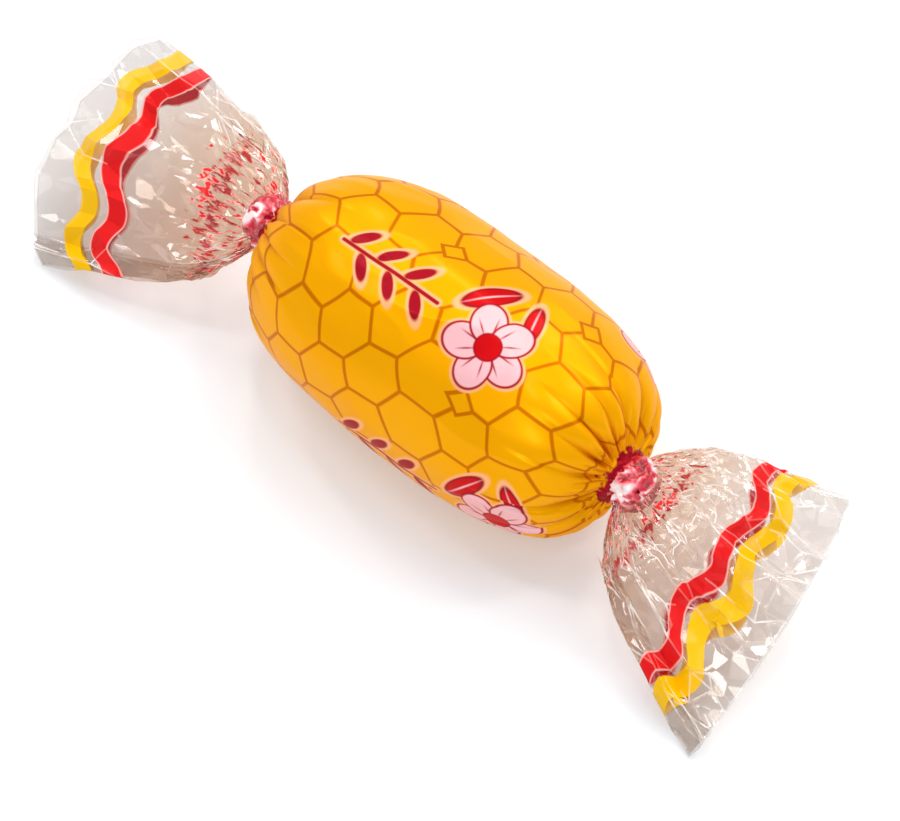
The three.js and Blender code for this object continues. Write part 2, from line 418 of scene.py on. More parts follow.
def printed_film_mesh(settings):
    """The film over the chew, spun from its outline and then gathered at the necks."""
    bm = bmesh.new()
    along = bm.verts.layers.float.new("along")
    gather_shade = bm.verts.layers.float.new("gather_shade")
    left = evenly_spaced(end_outline(LEFT_END_SQUARENESS), RING_STEP)
    left = [(-x, radius, -length) for x, radius, length in left]
    right = evenly_spaced(end_outline(RIGHT_END_SQUARENESS), RING_STEP)
    outline = []
    for x, radius, length in left[::-1] + right[1:]:
        vertex = bm.verts.new((x, radius * math.cos(SEAM_ANGLE), radius * math.sin(SEAM_ANGLE)))
        vertex[along] = length / MM
        outline.append(vertex)
    spin_outline(bm, outline, RING_FACES)
    bmesh.ops.recalc_face_normals(bm, faces=bm.faces)

    # The print's own places in mm: round the chew from the free edge, and along the film.
    print_place = bm.loops.layers.uv.new("print_mm")
    mm_round = BODY_RADIUS / MM
    for face in bm.faces:
        middle = face.calc_center_median()
        middle_turn = (math.atan2(middle.z, middle.y) - SEAM_ANGLE) % math.tau
        for loop in face.loops:
            co = loop.vert.co
            turn = middle_turn
            if math.hypot(co.y, co.z) > 0.01 * MM:
                turn = (math.atan2(co.z, co.y) - SEAM_ANGLE) % math.tau
                turn += math.tau * round((middle_turn - turn) / math.tau)
            loop[print_place].uv = (turn * mm_round, loop.vert[along])

    bm.normal_update()
    normals = {vertex: vertex.normal.copy() for vertex in bm.verts}
    for vertex in bm.verts:
        co = vertex.co
        radius = math.hypot(co.y, co.z)
        angle = math.atan2(co.z, co.y)
        place = co.x
        if abs(place) < HALF_LENGTH - 0.001 * MM:
            past_seam = (angle - SEAM_ANGLE) % math.tau
            flap = SEAM_STEP * (1 - smoothstep(past_seam, 0, SEAM_FADE))
            on_body = smoothstep(radius, 0.5 * BODY_RADIUS, BODY_RADIUS)
            relief, vertex[gather_shade] = wrap_relief(place, radius, angle, settings.crease)
            relief += on_body * (flap + film_tension(co, place, angle))
            co += normals[vertex] * relief
        elif radius > NECK_RADIUS / 2:
            co += Vector((0, co.y, co.z)).normalized() * neck_relief(place, angle)
        co.z = max(co.z, FLAT_SPOT_DEPTH - BODY_RADIUS)
        vertex.co = co + CENTRE
    return finished_mesh(bm, "printed_film")


# --- The print ---

# Places in the print are in mm. A noise on Object coordinates is scaled by its spots to the
# millimetre over MM, so 0.4 / MM gives spots 2.5 mm wide.

HAND_PUSH = 3.4  # mm; the noise takes a tenth or two of this either way
DIAMOND_CHANCE = 0.17  # that a corner of the honeycomb has one
DIAMOND_SIZE = 0.95
DIAMOND_LINE = 1.3  # width of its line, beside the honeycomb's
MOTIF_ROWS = 4  # round the film, each with a sprig and a blossom
FIRST_ROW = math.radians(104)  # round the body, to the middle of a row
ROW_STAGGER = 5.2  # every other row is moved along by this
STEM_MIDDLE = -3.5
STEM_HALF_LENGTH = 4.3
STEM_HALF_WIDTH = 0.15
BLOSSOM_PLACE = 5.6
BLOSSOM_ASIDE = 0.4
FIRST_PETAL = 0.3
# Leaves are ellipses, as (middle, half sizes, turn).
SPRIG_LEAVES = [
    ((side, -6.6 + 1.25 * i), (0.42, 1.15), -side * 0.85) for i, side in enumerate([-1, 1] * 3)
]
BLOSSOM_LEAVES = [((-2.7, -2.3), (0.75, 2.0), 0.9), ((-3.0, 1.2), (0.6, 1.6), -1.2)]
LEAF_RIBS = [((-2.7, -2.3), (0.07, 1.5), 0.9), ((-3.0, 1.2), (0.06, 1.15), -1.2)]
HEART = [((BLOSSOM_ASIDE, 0), (0.95, 0.95), 0)]


def round_heart(count, distance, half_sizes, first_turn):
    """Ellipses in a ring round the blossom's heart, each pointing away from it."""
    turns = [math.tau * i / count + first_turn for i in range(count)]
    return [
        ((distance * math.sin(turn) + BLOSSOM_ASIDE, distance * math.cos(turn)), half_sizes, -turn)
        for turn in turns
    ]


PETALS = round_heart(5, 1.75, (1.25, 1.5), FIRST_PETAL)
PETAL_STROKES = round_heart(10, 1.5, (0.06, 0.5), FIRST_PETAL + math.tau / 20)


def soft_step(add, distance, edge, softness=0.05):
    """1 where distance is under edge, and 0 past it, with a soft step between."""
    return add("MapRange", (distance, edge - softness, edge + softness, 1.0, 0.0))


def apart(add, value, middle):
    """How far a value lies from the middle one, either way."""
    off = add("Math.SUBTRACT", (value, middle))
    return add("Math.ABSOLUTE", (off,))


def nearest(add, distances):
    found = distances[0]
    for distance in distances[1:]:
        found = add("Math.MINIMUM", (found, distance))
    return found


def cell_offset(add, where, cell):
    """The way from the middle of the nearest cell of a hexagonal lattice."""
    half = (cell / 2, cell * math.sqrt(3) / 2, 0)
    below = tuple(-side for side in half)
    even = add("VectorMath.WRAP", (where, half, below))
    moved = add("VectorMath.SUBTRACT", (where, half))
    odd = add("VectorMath.WRAP", (moved, half, below))
    lengths = [add("VectorMath.LENGTH", (way,)).outputs["Value"] for way in (even, odd)]
    nearer = add("Math.GREATER_THAN", lengths)
    return add("Mix", {"Factor": nearer, 4: even, 5: odd}, data_type="VECTOR").outputs[1]


def honeycomb(add, place, uv, settings):
    """The honeycomb's lines, with a small diamond on some of its corners: 1 on a line."""
    # The cells are hand drawn, so slow noise pushes them about by half a millimetre or so.
    push = add("TexNoise", {"Vector": place, "Scale": 0.095 / MM, "Detail": 1.0}).outputs["Color"]
    push = add("VectorMath.SUBTRACT", (push, (0.5, 0.5, 0.5)))
    push = add("VectorMath.SCALE", {0: push, "Scale": HAND_PUSH})
    pushed = add("VectorMath.ADD", (uv, push))
    flat = add("VectorMath.MULTIPLY", (pushed, (1, 1, 0)))

    cell = settings.cell / MM
    half_line = settings.line / MM / 2
    offset = cell_offset(add, flat, cell)
    folded = add("VectorMath.ABSOLUTE", (offset,))
    slant = (0.5, math.sqrt(3) / 2, 0)
    slanted = add("VectorMath.DOT_PRODUCT", (folded, slant)).outputs["Value"]
    straight = add("SeparateXYZ", (folded,))
    reach = add("Math.MAXIMUM", (slanted, straight))
    to_edge = add("Math.SUBTRACT", (cell / 2, reach))
    lines = soft_step(add, to_edge, half_line)

    corner_place = add("VectorMath.SUBTRACT", (flat, (0, cell / math.sqrt(3), 0)))
    corner_way = cell_offset(add, corner_place, cell)
    corner = add("VectorMath.SUBTRACT", (corner_place, corner_way))
    lattice = (cell / 2, cell * math.sqrt(3) / 2, 1)
    numbered = add("VectorMath.DIVIDE", (corner, lattice))
    numbered = add("VectorMath.ADD", (numbered, (0.5, 0.5, 0.5)))
    numbered = add("VectorMath.FLOOR", (numbered,))
    chance = add("TexWhiteNoise", (numbered,), noise_dimensions="3D").outputs["Value"]
    chosen = add("Math.LESS_THAN", (chance, DIAMOND_CHANCE))
    sides = add("VectorMath.ABSOLUTE", (corner_way,))
    across = add("VectorMath.DOT_PRODUCT", (sides, (1, 0.9, 0))).outputs["Value"]
    inside = soft_step(add, across, DIAMOND_SIZE)
    inside = add("Math.MULTIPLY", (inside, chosen))
    diamond = soft_step(add, apart(add, across, DIAMOND_SIZE), half_line * DIAMOND_LINE)
    diamond = add("Math.MULTIPLY", (diamond, chosen))
    outside = add("Math.SUBTRACT", (1.0, inside))
    lines = add("Math.MULTIPLY", (lines, outside))
    return add("Math.MAXIMUM", (lines, diamond))


def motifs(add, uv, colour, settings):
    """The colour with a sprig and a blossom printed over it in each row."""
    mm_round = BODY_RADIUS / MM
    row_width = math.tau * mm_round / MOTIF_ROWS
    around = add("SeparateXYZ", (uv,))
    first_row = (FIRST_ROW - SEAM_ANGLE) % math.tau * mm_round
    from_row = add("Math.SUBTRACT", (around, first_row))
    row = add("Math.DIVIDE", (from_row, row_width))
    row = add("Math.ROUND", (row,))
    row_middle = add("Math.MULTIPLY", (row, row_width))
    aside = add("Math.SUBTRACT", (from_row, row_middle))
    odd_row = add("Math.FLOORED_MODULO", (row, 2.0))
    stagger = add("Math.MULTIPLY", (odd_row, ROW_STAGGER))
    along = add("Math.SUBTRACT", (around.outputs["Y"], stagger))
    along_blossom = add("Math.SUBTRACT", (along, BLOSSOM_PLACE))

    def outside_each(ellipses, forward=along_blossom):
        """How far a place lies outside each of the ellipses."""
        distances = []
        for middle, half_sizes, turn in ellipses:
            way = add("CombineXYZ", (aside, forward))
            way = add(
                "Mapping",
                {"Vector": way, "Location": (*middle, 0), "Rotation": (0, 0, turn),
                 "Scale": (*half_sizes, 1)},
                vector_type="TEXTURE",
            )
            length = add("VectorMath.LENGTH", (way,)).outputs["Value"]
            outside = add("Math.SUBTRACT", (length, 1.0))
            distances.append(add("Math.MULTIPLY", (outside, min(half_sizes))))
        return distances

    past_end = apart(add, along, STEM_MIDDLE)
    past_end = add("Math.SUBTRACT", (past_end, STEM_HALF_LENGTH))
    past_end = add("Math.MAXIMUM", (past_end, 0.0))
    off_stem = add("CombineXYZ", (aside, past_end))
    off_stem = add("VectorMath.LENGTH", (off_stem,)).outputs["Value"]
    off_stem = add("Math.SUBTRACT", (off_stem, STEM_HALF_WIDTH))
    sprig = nearest(add, [off_stem] + outside_each(SPRIG_LEAVES, along))
    petals = outside_each(PETALS)
    leaves = nearest(add, outside_each(BLOSSOM_LEAVES))
    blossom = nearest(add, [nearest(add, petals), leaves])
    heart = outside_each(HEART)[0]

    # The coats of ink, one over the other: out to how far past a shape, and in what colour.
    coats = [
        (sprig, 0.2, settings.halo),
        (sprig, 0.0, settings.crimson),
        (blossom, 0.26, settings.halo),
        (leaves, 0.06, settings.crimson),
        (leaves, -0.1, settings.red),
        (nearest(add, outside_each(LEAF_RIBS)), 0.0, settings.pink),
    ]
    for petal in petals:
        coats += [(petal, 0.09, settings.crimson), (petal, -0.07, settings.pink)]
    coats += [
        (nearest(add, outside_each(PETAL_STROKES)), 0.0, settings.crimson),
        (heart, 0.08, settings.crimson),
        (heart, -0.05, settings.red),
    ]
    for distance, edge, ink in coats:
        inked = soft_step(add, distance, edge)
        mixed = add("Mix", {"Factor": inked, 6: colour, 7: rgba(ink)}, data_type="RGBA")
        colour = mixed.outputs[2]
    return colour


def printed_film_material(settings):
    """BOPP film, printed on its inside in opaque golden ink and drawn tightly over the chew. Fine
    metal flakes in the ink mirror a part of the light, so the eye sees deep gold with soft-edged,
    brighter reflections, which break where the film is gathered."""
    material, add = new_material("printed_bopp_film")
    uv = add("UVMap", uv_map="print_mm")
    place = add("TexCoord").outputs["Object"]

    # The ink lies a little unevenly, the gathers are painted darker as painted shade in their
    # folds, and the lines are a thin ink.
    uneven = add("TexNoise", {"Vector": place, "Scale": 0.16 / MM, "Detail": 2.0})
    gather_shade = add("Attribute", attribute_name="gather_shade").outputs["Fac"]
    gather_shade = add("MapRange", (gather_shade, 0.35, 1.1, 0, 0.85))
    lines = honeycomb(add, place, uv, settings)
    lines = add("Math.MULTIPLY", (lines, 0.85))
    inks = ((uneven, settings.gold_shade), (gather_shade, settings.gather_shade), (lines, settings.line_ink))
    colour = rgba(settings.gold)
    for share, ink in inks:
        mixed = add("Mix", {"Factor": share, 6: colour, 7: rgba(ink)}, data_type="RGBA")
        colour = mixed.outputs[2]
    colour = motifs(add, uv, colour, settings)

    # Past the shoulders the print breaks up into crimson scraps, and the neck is all crimson.
    from_centre = add("VectorMath.SUBTRACT", (place, tuple(CENTRE)))
    from_centre = add("VectorMath.ABSOLUTE", (from_centre,))
    to_neck = add("VectorMath.DISTANCE", (from_centre, (HALF_LENGTH, 0, 0)))
    to_neck = add("Math.MULTIPLY", (to_neck.outputs["Value"], 1 / MM))
    scraps = add("TexNoise", {"Vector": place, "Scale": 0.9 / MM, "Detail": 2.0})
    density = add("MapRange", (to_neck, 3.1, 2.1, 0.0, 0.45), clamp=False)
    crimson = add("Math.ADD", (scraps, density))
    crimson = add("MapRange", (crimson, 0.84, 0.92))
    along_axis = add("SeparateXYZ", (from_centre,))
    past_shoulder = add("MapRange", (along_axis, HALF_LENGTH, HALF_LENGTH + 0.2 * MM))
    crimson = add("Math.MAXIMUM", (crimson, past_shoulder))
    colour = add(
        "Mix", {"Factor": crimson, 6: colour, 7: rgba(settings.crimson)}, data_type="RGBA"
    ).outputs[2]

    # Fine slack in the film, stronger towards the necks.
    wrinkles = add("TexNoise", {"Vector": place, "Scale": 0.42 / MM, "Detail": 3.0})
    strength = add("MapRange", (to_neck, 11.0, 2.0, 0.05, 0.45))
    bump = add("Bump", {"Height": wrinkles, "Strength": strength, "Distance": 0.2 * MM})
    shader = add(
        "BsdfPrincipled",
        {"Base Color": colour, "Metallic": 0.24, "Roughness": 0.34, "IOR": 1.5,
         "Specular IOR Level": 0.08, "Specular Tint": linear("#ffc23a"), "Coat Weight": 0.03,
         "Coat Roughness": 0.08, "Coat IOR": 1.5, "Normal": bump, "Coat Normal": bump},
    )
    add("OutputMaterial", {"Surface": shader})
    return material


# The twist's outline in mm, as (distance from the chew's middle, radius).
TWIST_OUTLINE = (
    (15.0, 0), (15.1, 1.2), (15.7, 1.62), (16.4, 1.8), (17.1, 1.72), (17.7, 1.45), (18.1, 0.9),
    (18.15, 0),
)
TWIST_RADIUS = 1.8 * MM
TWIST_FACES = 28
TWIST_WANDER = 0.9
CROSSING_FOLDS = 5


def neck_twist_mesh(name, fan):
    """The tight twist of film at a neck: a short crumpled ring, closed at both ends."""
    draw = random.Random(fan["pleat_seed"])
    bm = bmesh.new()
    ridge = bm.verts.layers.float.new("ridge")
    outline = [
        bm.verts.new((fan["side"] * x * MM, radius * MM, 0)) for x, radius in TWIST_OUTLINE
    ]
    spin_outline(bm, outline, TWIST_FACES)
    bmesh.ops.subdivide_edges(bm, edges=bm.edges[:], cuts=1, use_grid_fill=True)
    bmesh.ops.triangulate(bm, faces=bm.faces[:])
    bmesh.ops.recalc_face_normals(bm, faces=bm.faces)
    for vertex in bm.verts:
        co = vertex.co
        radius = math.hypot(co.y, co.z)
        angle = math.atan2(co.z, co.y)
        if radius > 0.1 * MM:
            wander = TWIST_WANDER * noise.noise(co / (0.9 * MM))
            turns = NECK_FOLDS * angle / math.tau + NECK_TWIST * NECK_FOLDS * co.x
            against = 0.5 * NECK_TWIST * CROSSING_FOLDS * co.x
            twisted = folds(turns + wander)
            crossing = folds(CROSSING_FOLDS * angle / math.tau - against + 2 * wander)
            # The fold's height goes to the material, which paints ridges paler as painted
            # highlight and hollows darker as painted shade.
            vertex[ridge] = twisted
            relief = 0.24 * twisted + 0.12 * crossing + draw.uniform(-0.03, 0.03)
            higher = radius / TWIST_RADIUS * relief * MM
            co += Vector((0, co.y, co.z)) / radius * higher
        vertex.co = co + CENTRE
    bmesh.ops.bevel(
        bm, geom=bm.edges[:], offset=0.03 * MM, offset_type="OFFSET", segments=1, profile=0.5,
        affect="EDGES", material=-1,
    )
    return finished_mesh(bm, name)


def neck_film_material():
    """The same BOPP film where the twist crushes its red and pink print together: bright scraps of
    colour, with painted highlight on the folds' ridges and painted shade in their hollows, and
    sharp little reflections from the crushed folds."""
    material, add = new_material("twisted_bopp_film")
    place = add("TexCoord").outputs["Object"]
    scraps = add("TexNoise", {"Vector": place, "Scale": 0.48 / MM, "Detail": 1.5})
    ridge = add("Attribute", attribute_name="ridge").outputs["Fac"]
    # Painted highlight and shade: the colour is shifted paler on the folds' ridges and darker in
    # their hollows.
    ridge_highlight_and_scraps = add("Math.MULTIPLY_ADD", (ridge, 0.16, scraps))
    ramp = add("ValToRGB", (ridge_highlight_and_scraps,))
    # Crushed print from dark red to pink; the nearly white top stop is painted highlight.
    stops = ((0.4, "#a00a1c"), (0.58, "#d01028"), (0.65, "#ee5a6c"), (0.72, "#fbe4e0"))
    while len(ramp.color_ramp.elements) < len(stops):
        ramp.color_ramp.elements.new(0.5)
    for element, (position, ink) in zip(ramp.color_ramp.elements, stops):
        element.position = position
        element.color = linear(ink)
    shader = add(
        "BsdfPrincipled",
        {"Base Color": ramp.outputs["Color"], "Roughness": 0.25, "IOR": 1.5, "Coat Weight": 0.8,
         "Coat Roughness": 0.05, "Coat IOR": 1.5},
    )
    add("OutputMaterial", {"Surface": shader})
    return material


class TAFFY_OT_neck_twists(Operator):
    """Makes the tight twist of film at each neck"""

    bl_idname = "taffy.neck_twists"
    bl_label = "Neck twists"

    def execute(self, context):
        material = neck_film_material()
        for end, fan in FANS.items():
            name = "neck_twist_" + end
            piece = new_piece(name, neck_twist_mesh(name, fan), material)
            piece.modifiers.new("flat_facets", "WEIGHTED_NORMAL").weight = 100
            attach(piece, "root")
        return {"FINISHED"}


class TAFFY_OT_printed_film(Operator):
    """Makes the printed film over the chew, with its gathers and twisted necks"""

    bl_idname = "taffy.printed_film"
    bl_label = "Printed film"

    def execute(self, context):
        settings = context.scene.taffy_printed_film
        mesh = printed_film_mesh(settings)
        piece = new_piece("printed_film", mesh, printed_film_material(settings))
        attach(piece, "root")
        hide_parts("wrapped_body")
        return {"FINISHED"}


# --- The clear fans ---


def seeded_series(seed):
    """The same repeatable numbers from 0 to 1 as the part's source draws."""
    state = seed
    while True:
        state = state * 16807 % 2147483647
        yield state / 2147483647


def fan_axes(along, across):
    """A fan's directions: along it, across it to its back edge, and up through the film."""
    forward = along.normalized()
    sideways = (across - forward * across.dot(forward)).normalized()
    upward = forward.cross(sideways).normalized()
    if upward.z < 0:
        upward.negate()
    return forward, sideways, upward


def fan_pleats(fan):
    """The fan's wide pleats, as the part's source has them."""
    series = seeded_series(fan["pleat_seed"])
    pleats = []
    end = 0
    for _ in range(FAN_PLEATS):
        width = lerp(0.65, 1.35, next(series))
        pleats.append((end, width, lerp(0.6, 1.25, next(series))))
        end += width
    phase = math.tau * next(series)

    def height(sideways, opened, distance):
        wander = FAN_PLEAT_WANDER * math.sin(4 * opened + 3 * sideways + phase)
        at = clamp((sideways + 1) / 2 * end + wander, 0, end)
        start, width, tall = [pleat for pleat in pleats if pleat[0] <= at][-1]
        ridge = (fold((at - start) / width) + 1) * tall - 1
        ripple = math.sin(7 * opened + 2.5 * sideways + phase)
        high = FAN_PLEAT_HEIGHT * ridge + FAN_RIPPLE_HEIGHT * ripple
        return high * opened * smoothstep(distance, 0, FAN_PLEAT_START)

    return height


def fan_half_width(fan, distance):
    opened = NECK_RADIUS + PUFF_WIDTH * (1 - math.exp(-distance / PUFF_LENGTH))
    return opened + (fan["half_width"] - NECK_RADIUS - PUFF_WIDTH) * distance / fan["reach"]


def fan_half_bulk(from_middle, distance):
    round_neck = NECK_RADIUS * math.sqrt(max(1 - from_middle, 0.03))
    round_puff = PUFF_BULK * math.sqrt(1.05 - min(from_middle, 1))
    puff = smoothstep(distance, 0, PUFF_LENGTH) * (1 - smoothstep(distance, PUFF_LENGTH, PUFF_END))
    opening = smoothstep(distance, 0, PUFF_LENGTH)
    return lerp(round_neck, lerp(FILM_BULK, round_puff, puff), opening)


FILM_OVERLAP = 0.13  # how much of a turn the film's two free edges overlap by
FILM_TUCK = 0.4 * MM  # how far the fan starts inside the neck
FILM_SLACK = 1.05  # length of the crushed film for each length of the fan
WRAP_WIDTH = math.tau * BODY_RADIUS  # of film round the chew, without the overlap
LOWEST_FILM = 0.06 * MM
LAYER_GAP = 0.4 * MM  # between the upper and the lower layer where both lie on the floor
COLUMN_JITTER = 0.3  # of a facet's own width
ROW_JITTER = 0.32
ROW_CROWDING = 1.25  # the power by which rows lie closer together at the neck
EDGE_ROUNDNESS = 0.25  # how round the flattened tube stays at its two edges
INNER_LAYER = 0.7  # height of the overlap inside the tube, beside the outer layer's
CRUMPLE_CHANGE = (8 * MM, 11 * MM)  # where a fan's second crumple takes over from its first
CRUMPLE_START = (0.5 * MM, 4 * MM)  # from nothing to all of the crumple
WIDE_FOLD_START = (2 * MM, 7 * MM)
EDGE_ZIGZAG = 0.035  # of the fan's half width, at most
PRINT_SHIFT_LENGTH = 8 * MM  # from the neck to where the print is all askew
SMALL_FOLDS = (0.13 * MM, 0.008 * MM)  # their height at the neck, and far from it
SMALL_FOLD_FADE = (3 * MM, 12.5 * MM)
# Where folds are rounded: from and to this far from the neck, how wide, and how much sharper
# than the fan's own limit a fold has to be.
CREASE_ZONES = (
    (7 * MM, 30 * MM, 0.9, 0),
    (3.5 * MM, 7 * MM, 0.6, math.radians(5)),
    (0, 3.5 * MM, 0.3, math.radians(14)),
)
SHORTEST_CHAIN = 8  # edges; each straight crease between two facets is three of them
FLAT_CREASE = math.radians(4)
# Straight folds right through the film, as (direction, distance from one to the next).
WIDE_FOLDS = (
    (math.radians(12), 7.3 * MM), (math.radians(71), 5.9 * MM), (math.radians(-48), 8.7 * MM),
    (math.radians(-15), 11.3 * MM),
)


def wide_folds(across, distance):
    """How high the wide folds stand: planes that meet in straight creases, from -1 to 1."""
    high = 0
    for direction, period in WIDE_FOLDS:
        place = (across * math.cos(direction) + distance * math.sin(direction)) / period
        high += 4 * abs(place - math.floor(place) - 0.5) - 1
    return high


def long_chains(edges):
    """Those of the edges that belong to a chain of at least SHORTEST_CHAIN that touch."""
    wanted = set(edges)
    kept = []
    while wanted:
        chain = [wanted.pop()]
        for edge in chain:
            for vertex in edge.verts:
                for other in vertex.link_edges:
                    if other in wanted:
                        wanted.remove(other)
                        chain.append(other)
        if len(chain) >= SHORTEST_CHAIN:
            kept += chain
    return sorted(kept, key=lambda edge: edge.index)


def round_creases(bm, fan, root, crease_width):
    """Rounds the folds that are sharp enough. Their new faces take the mesh's second material,
    which paints them white: a painted highlight along each crease."""
    for nearest_end, farthest_end, width, sharper in CREASE_ZONES:
        bm.edges.index_update()
        sharp = [
            edge for edge in bm.edges
            if edge.is_manifold
            and nearest_end < (edge.verts[0].co - root).length <= farthest_end
            and edge.calc_face_angle() > fan["sharp_fold"] + sharper
            and not any(face.material_index for face in edge.link_faces)
        ]
        bmesh.ops.bevel(
            bm, geom=long_chains(sharp), offset=width * crease_width / 2, offset_type="OFFSET",
            segments=1, profile=0.5, affect="EDGES", material=1,
        )
        bm.normal_update()
    for edge in bm.edges:
        beside_crease = any(face.material_index for face in edge.link_faces)
        edge.smooth = beside_crease or not edge.is_manifold or (
            edge.calc_face_angle() < FLAT_CREASE
        )


def clear_film_mesh(name, fan, settings):
    """One fan: the gathered tube of film, crushed nearly flat and creased into facets."""
    draw = random.Random(fan["pleat_seed"])
    root = Vector((fan["side"] * (NECK_END - FILM_TUCK), 0, 0)) + CENTRE
    root_axes = fan_axes(Vector((fan["side"], 0, 0)), fan["across"])
    plane_axes = fan_axes(fan["along"], fan["across"])
    pleat_height = fan_pleats(fan)

    bm = bmesh.new()
    bmesh.ops.create_grid(bm, x_segments=settings.columns, y_segments=settings.rows, size=0.5)
    film_place = bm.loops.layers.uv.new("print_mm")
    to_cut = bm.verts.layers.float.new("to_cut_edge")
    column_step = 1 / settings.columns
    row_step = 1 / settings.rows
    on_film = {}
    for vertex in bm.verts:
        x, y = vertex.co.x, vertex.co.y
        column = round((x + 0.5) / column_step)
        row = round((y + 0.5) / row_step)
        if 0 < column < settings.columns:
            x += draw.uniform(-COLUMN_JITTER, COLUMN_JITTER) * column_step
        if 0 < row < settings.rows:
            y += draw.uniform(-ROW_JITTER, ROW_JITTER) * row_step
        turn = x * (1 + FILM_OVERLAP)
        opened = (y + 0.5) ** ROW_CROWDING
        zigzag = 1 if column % 2 else -1
        # Across the flattened tube: 1 at the fan's back edge, -1 at its front edge.
        inside_turn = (turn + 0.5) % 1 - 0.5
        sideways = 1 - 4 * abs(inside_turn)
        sideways = lerp(sideways, math.cos(math.tau * inside_turn), EDGE_ROUNDNESS)
        layer = clamp(2.6 * math.sin(math.tau * inside_turn), -1, 1)
        inner = INNER_LAYER if abs(turn) > 0.5 else 1.0

        from_middle = min(sideways * sideways, 1)
        length = fan["reach"] + fan["bulge"] * (1 - from_middle) - fan["slant"] / 2 * sideways
        distance = length * opened
        turned = smoothstep(distance, 0, FAN_TURN_LENGTH)
        across = root_axes[1].lerp(plane_axes[1], turned).normalized()
        through = root_axes[2].lerp(plane_axes[2], turned).normalized()

        crushed = lerp(*fan["crumple"], smoothstep(distance, *CRUMPLE_CHANGE))
        bulging = lerp(0.75, draw.uniform(0.45, 1.0), crushed)
        crushed *= settings.crumple * smoothstep(distance, *CRUMPLE_START)
        lift = pleat_height(sideways, opened, distance) - fan["droop"] * opened * from_middle
        lift += layer * inner * fan_half_bulk(from_middle, distance) * bulging
        lift += crushed * (0.5 * zigzag + draw.uniform(-0.8, 0.8))
        wide = settings.wide_folds * fan["wide_folds"] * smoothstep(distance, *WIDE_FOLD_START)
        lift += wide * wide_folds(turn * WRAP_WIDTH, distance)
        width = fan_half_width(fan, distance)
        aside = sideways * width * lerp(1, fan["back_share"], smoothstep(sideways, 0, 1))
        aside += zigzag * EDGE_ZIGZAG * width * draw.uniform(0.2, 1) * crushed / settings.crumple
        point = root + plane_axes[0] * distance + across * aside + through * lift
        lowest = LOWEST_FILM + (1 + layer) * LAYER_GAP / 2
        if point.z < lowest:
            point.z = lowest + draw.uniform(0, 0.25) * MM * (1 - from_middle)
        vertex.co = point
        # The film's own place in mm: across from the middle of the sheet, and from the neck.
        middle, tilt, bow = fan["print_shift"]
        shift = middle + sideways * (tilt + sideways * bow)
        shift *= smoothstep(distance, 0, PRINT_SHIFT_LENGTH)
        on_film[vertex] = (turn * WRAP_WIDTH / MM, distance / MM * FILM_SLACK + shift)
        vertex[to_cut] = (length - distance) / MM

    for face in bm.faces:
        for loop in face.loops:
            loop[film_place].uv = on_film[loop.vert]

    bmesh.ops.triangulate(bm, faces=bm.faces[:])
    bmesh.ops.subdivide_edges(bm, edges=bm.edges[:], cuts=2, use_grid_fill=True)
    for vertex in bm.verts:
        small = lerp(*SMALL_FOLDS, smoothstep((vertex.co - root).length, *SMALL_FOLD_FADE))
        vertex.co += Vector([draw.uniform(-1, 1) for _ in range(3)]) * small
        vertex.co.z = max(vertex.co.z, LOWEST_FILM)
    bm.normal_update()
    round_creases(bm, fan, root, settings.crease_width)
    return finished_mesh(bm, name)


BAND_WAVES = 7  # round the whole film
WAVE_HEIGHT = 0.62  # mm, as the bands' widths and places are
YELLOW_HALF_WIDTH = 0.8
RIM_HALF_WIDTH = 0.9  # of the red band with its pale rim
RED_HALF_WIDTH = 0.76
BAND_SOFTNESS = 0.06
SCRAP_ROW = 3.6  # mm from the neck
SCRAP_STRETCH = (1.9, 1.4, 0)  # scraps to the mm, across and along the film
FACET_TILT = (0.42, 0.42, 0.42)
INK_UNDER_CREASE_HIGHLIGHT = 0.72  # the share of the print that shows through a crease's painted highlight
